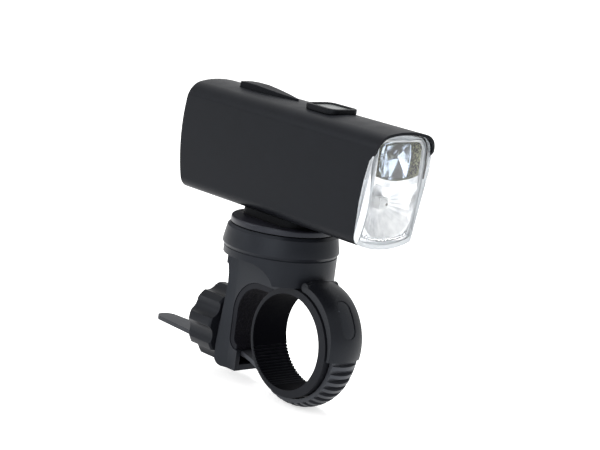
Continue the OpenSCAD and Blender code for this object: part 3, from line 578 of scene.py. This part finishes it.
def front_window():
    """Clear front, painted opaque white as painted light on its inner side walls, its rim and where it
    sits in the housing.
    """
    low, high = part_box("front_lens")
    middle = Vector((0, 0, (low.z + high.z) / 2))
    paint, spigot, edge_round = 0.04 * MM, 2 * MM, 0.5 * MM
    top_wall, top_deep, side_wall = 2.2 * MM, 3 * MM, 1.4 * MM
    side_seat, top_seat = 0.8 * MM, 2.4 * MM
    bm = node_copy("front_lens")
    bm.normal_update()
    for vert in bm.verts:
        vert.co -= paint * vert.normal
    sides = [f for f in bm.faces if abs(f.normal.y) > 0.7 and f.normal.y * f.calc_center_median().y > 0]
    around = {e for f in sides for e in f.edges} | {v for f in sides for v in f.verts}
    bmesh.ops.bisect_plane(bm, geom=sides + list(around), dist=WELD, plane_co=VISOR_END,
                           plane_no=VISOR_SLOPE)
    for vert in bm.verts:
        if vert.co.z > high.z - top_wall:
            vert.co.x = max(vert.co.x, high.x - top_deep)
    bmesh.ops.remove_doubles(bm, verts=bm.verts, dist=10 * WELD)
    bmesh.ops.dissolve_degenerate(bm, edges=bm.edges, dist=WELD)

    def free(edge):
        """True on the front rim and inside the lens, but not where it sits in the housing."""
        if any(f.normal.x > 0.5 for f in edge.link_faces):
            return True
        return all(abs(v.co.y) < high.y - side_wall and v.co.z < high.z - side_wall
                   and v.co.x > low.x + spigot for v in edge.verts)

    round_edges(bm, edge_round, 3, chosen=free)
    lens = finish_piece(bm, "front_window", ["front_lens"], LENS_CLEAR)

    def inner(face):
        """True on a wall that faces the middle of the lens."""
        across = face.normal.dot(face.center - middle) - face.normal.x * face.center.x
        return abs(face.normal.x) < 0.9 and across < 0

    def seated(face):
        """True where the lens sits in the housing."""
        reach = max(abs(lens.data.vertices[v].co.y) for v in face.vertices)
        at_edge = reach > high.y - side_seat or face.center.z > high.z - top_seat
        return face.normal.x < -0.3 and at_edge or face.center.x < low.x + spigot or face.normal.z > 0.5

    def covered(face):
        """True on the part of a side that the visor hides."""
        return abs(face.normal.y) > 0.3 and VISOR_SLOPE.dot(face.center - VISOR_END) < 0

    def painted_light_faces(face):
        """True on all that gets the white painted light, with the rounded rim."""
        return inner(face) or seated(face) or covered(face) or 0.25 < face.normal.x < 0.93

    # Painted light: the white faces stand in for light carried through the clear plastic
    repaint(lens, WHITE_PAINTED_LIGHT, painted_light_faces)


def lamp_end():
    """Rear end with a soft outer edge and no groove where it meets the housing."""
    low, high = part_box("rear_cap")
    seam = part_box("housing_shell")[0].x
    middle = Vector((0, (low.z + high.z) / 2))
    head, clear_of_head = 1.9 * MM, 2.6 * MM
    outer_deep, outer_round = 4.5 * MM, 1.3 * MM
    recess_deep, recess_round = 3 * MM, 0.2 * MM
    flap_margin, hinge_margin, touch = 1 * MM, 3 * MM, 0.05 * MM
    screw_low, screw_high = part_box("cap_screws")
    screws = [Vector((s * (screw_high.y - head), z)) for s in (-1, 1)
              for z in (screw_low.z + head, screw_high.z - head)]
    flap_low, flap_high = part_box("port_cover")

    def place(edge):
        """Middle of an edge, and the same seen from behind."""
        mid = (edge.verts[0].co + edge.verts[1].co) / 2
        return mid, Vector((mid.y, mid.z))

    def at_screw(flat):
        """True beside a screw head."""
        return min((flat - s).length for s in screws) < clear_of_head

    def outer(edge):
        """True on the outer edge, clear of the screws and the flap."""
        mid, flat = place(edge)
        if mid.x > low.x + outer_deep or at_screw(flat):
            return False
        beside_flap = abs(flat.x) < flap_high.y + flap_margin
        if beside_flap and flap_low.z - hinge_margin < flat.y < flap_high.z + flap_margin:
            return False
        side = [f.normal for f in edge.link_faces if abs(f.normal.x) < 0.3]
        return bool(side) and Vector((side[0].y, side[0].z)).dot(flat - middle) > 0

    def recess(edge):
        """True round the recesses of the flap and the screws."""
        mid, flat = place(edge)
        if mid.x >= low.x + recess_deep or all(abs(v.co.x - seam) < touch for v in edge.verts):
            return False
        return abs(flat.x) < flap_high.y + flap_margin or at_screw(flat)

    bm = node_copy("rear_cap")
    round_edges(bm, outer_round, 4, 20, outer)
    round_edges(bm, recess_round, 2, 40, recess)
    finish_piece(bm, "lamp_end", ["rear_cap"], HOUSING_BLACK)


def lamp_housing():
    """Housing with rounded edges, but none where it meets the rear end."""
    seam, seam_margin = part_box("housing_shell")[0].x, 0.1 * MM
    moulding("housing_shell", "lamp_housing", HOUSING_BLACK, 0.3 * MM, 3,
             chosen=lambda edge: max(v.co.x for v in edge.verts) > seam + seam_margin)


def saddle_bracket():
    """Clamp body, with a glossier, slightly lighter copy of its finish on each flat side of the leg, up
    to the collar; the lighter tone is painted light.
    """
    collar = 10.8 * MM
    leg_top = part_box("clamp_bracket")[1].z - collar
    bracket = moulding("clamp_bracket", "saddle_bracket", BRACKET_BLACK, 0.4 * MM, 3)

    def on_leg(face):
        """True on the flat sides of the leg, which get the painted light."""
        return abs(face.normal.y) > 0.6 and face.normal.x < 0.5 and face.center.z < leg_top

    repaint(bracket, LEG_GLOSS_AND_PAINTED_LIGHT, on_leg)


def foam_pad():
    """Foam pad with a smooth moulded rim at its two sides."""
    pad = moulding("saddle_pad", "foam_pad", PAD_FOAM, 0.5 * MM, 3)
    repaint(pad, PAD_RIM, lambda face: abs(face.normal.y) > 0.5)


saddle_bracket()
foam_pad()
grip_liner()
moulding("strap_cover", "strap_front", COVER_BLACK, 0.45 * MM, 3)
moulding("strap_inlay", "strap_inset", INLAY_BLACK, 0.25 * MM, 2)
# The ribbed band gets the lighter painted-light copy of the strap rubber
moulding("strap_band", "ribbed_strap", BAND_RUBBER_PAINTED_LIGHT, 0.25 * MM, 2)
moulding("strap_tail", "strap_tongue", STRAP_RUBBER, 0.25 * MM, 2)
moulding("tension_knob", "lobed_knob", KNOB_BLACK, 0.6 * MM, 3)
moulding("turntable_disc", "swivel_disc", DISC_SATIN, 0.25 * MM, 2)
moulding("mounting_shoe", "swivel_shoe", SHOE_BLACK, 0.2 * MM, 2)
lamp_housing()
lamp_end()
moulding("cap_screws", "end_screws", DARK_STEEL, 0.15 * MM, 2)
front_window()
reflector_bowl()
spot_cavity()
faceted_collimator()
moulding("indicator_bezel", "window_bezel", BEZEL_RUBBER, 0.45 * MM, 3)
moulding("indicator_pane", "window_pane", PANE_SMOKE, 0.2 * MM, 2)
moulding("power_button", "leaf_button", BUTTON_RUBBER, 0.5 * MM, 3)
moulding("port_cover", "port_flap", PLUG_RUBBER, 0.2 * MM, 2)

# Finishes of the nodes that stay as they are
INNER = {
    "hinge_pin": PIN_BLACK, "spring_washer": STEEL, "pivot_bolt": STEEL, "pivot_nut": STEEL,
    "charge_socket": STEEL, "swivel_washer": NYLON, "thread_coil": BRASS,
    "lens_seal": SEAL_RUBBER, "led_board": BOARD_GREEN,
    "main_board": BOARD_GREEN, "main_led": MAIN_EMITTER, "upper_led": UPPER_EMITTER, "heat_sink": SINK,
    "battery_cell": SLEEVE, "battery_cradle": CRADLE_BLACK, "tact_switch": SWITCH_GREY,
    "indicator_leds": SIGNAL, "light_guide": OPTIC_CLEAR,
}
for node, finish in INNER.items():
    frame["nodes"][node].material_slots[0].material = finish


# Studio

def seen_ray(tree):
    """1 for rays that come from the camera, from gloss or through glass."""
    path = tree.nodes.new("ShaderNodeLightPath")
    value = path.outputs["Is Camera Ray"]
    for name in ("Is Glossy Ray", "Is Transmission Ray"):
        most = tree.nodes.new("ShaderNodeMath")
        most.operation = "MAXIMUM"
        tree.links.new(value, most.inputs[0])
        tree.links.new(path.outputs[name], most.inputs[1])
        value = most.outputs[0]
    return value


def strength(tree, seen, unseen):
    """Strength of a glow: one value for seen rays, another for the rest."""
    span = tree.nodes.new("ShaderNodeMapRange")
    span.inputs["To Min"].default_value = unseen
    span.inputs["To Max"].default_value = seen
    tree.links.new(seen_ray(tree), span.inputs["Value"])
    return span.outputs["Result"]


def white_world():
    """White surround that lights the object softly."""
    world = bpy.data.worlds.new("white_surround")
    bpy.context.scene.world = world
    world.use_nodes = True
    tree = world.node_tree
    glow = tree.nodes["Background"]
    glow.inputs["Color"].default_value = (1, 1, 1, 1)
    tree.links.new(strength(tree, WORLD_SEEN, WORLD_UNSEEN), glow.inputs["Strength"])


def pale_floor():
    """Pale floor just under the object, which keeps its shadow."""
    finish = bpy.data.materials.new("pale_floor")
    finish.use_nodes = True
    tree = finish.node_tree
    tree.nodes.remove(tree.nodes["Principled BSDF"])
    paint = tree.nodes.new("ShaderNodeBsdfDiffuse")
    paint.inputs["Color"].default_value = (FLOOR_TONE, FLOOR_TONE, FLOOR_TONE, 1)
    glow = tree.nodes.new("ShaderNodeEmission")
    tree.links.new(strength(tree, FLOOR_GLOW, 0.0), glow.inputs["Strength"])
    both = tree.nodes.new("ShaderNodeAddShader")
    tree.links.new(paint.outputs[0], both.inputs[0])
    tree.links.new(glow.outputs[0], both.inputs[1])
    tree.links.new(both.outputs[0], tree.nodes["Material Output"].inputs["Surface"])
    bm = bmesh.new()
    bmesh.ops.create_grid(bm, x_segments=1, y_segments=1, size=FLOOR_SIZE)
    bmesh.ops.translate(bm, verts=bm.verts, vec=(0, 0, cad_box[0].z - FLOOR_GAP))
    mesh = bpy.data.meshes.new("floor")
    bm.to_mesh(mesh)
    bm.free()
    mesh.materials.append(finish)
    floor = bpy.data.objects.new("floor", mesh)
    bpy.context.scene.collection.objects.link(floor)


def soft_lamp(name, place, size, power):
    """Round soft lamp that faces the object."""
    lamp = bpy.data.lights.new(name, "AREA")
    lamp.shape = "DISK"
    lamp.size = size
    lamp.energy = power
    holder = bpy.data.objects.new(name, lamp)
    bpy.context.scene.collection.objects.link(holder)
    holder.location = place
    holder.rotation_euler = (AIM - Vector(place)).to_track_quat("-Z", "Y").to_euler()


def photo_camera():
    """Camera at the photograph's angle."""
    azimuth, elevation, roll = radians(AZIMUTH), radians(ELEVATION), radians(ROLL)
    back = Vector((sin(azimuth) * cos(elevation), -cos(azimuth) * cos(elevation), sin(elevation)))
    right = Vector((cos(azimuth), sin(azimuth), 0))
    up = back.cross(right)
    across = cos(roll) * right - sin(roll) * up
    upward = sin(roll) * right + cos(roll) * up
    data = bpy.data.cameras.new("photo_camera")
    data.lens = LENS
    data.sensor_width = SENSOR
    data.clip_start = 0.01
    camera = bpy.data.objects.new("photo_camera", data)
    bpy.context.scene.collection.objects.link(camera)
    turn = Matrix((across, upward, back)).transposed().to_4x4()
    camera.matrix_world = Matrix.Translation(AIM + DISTANCE * back) @ turn
    bpy.context.scene.camera = camera


white_world()
pale_floor()
for name, (place, across, power) in LAMPS.items():
    soft_lamp(name, place, across, power)
photo_camera()
bpy.context.scene.view_settings.view_transform = "Standard"
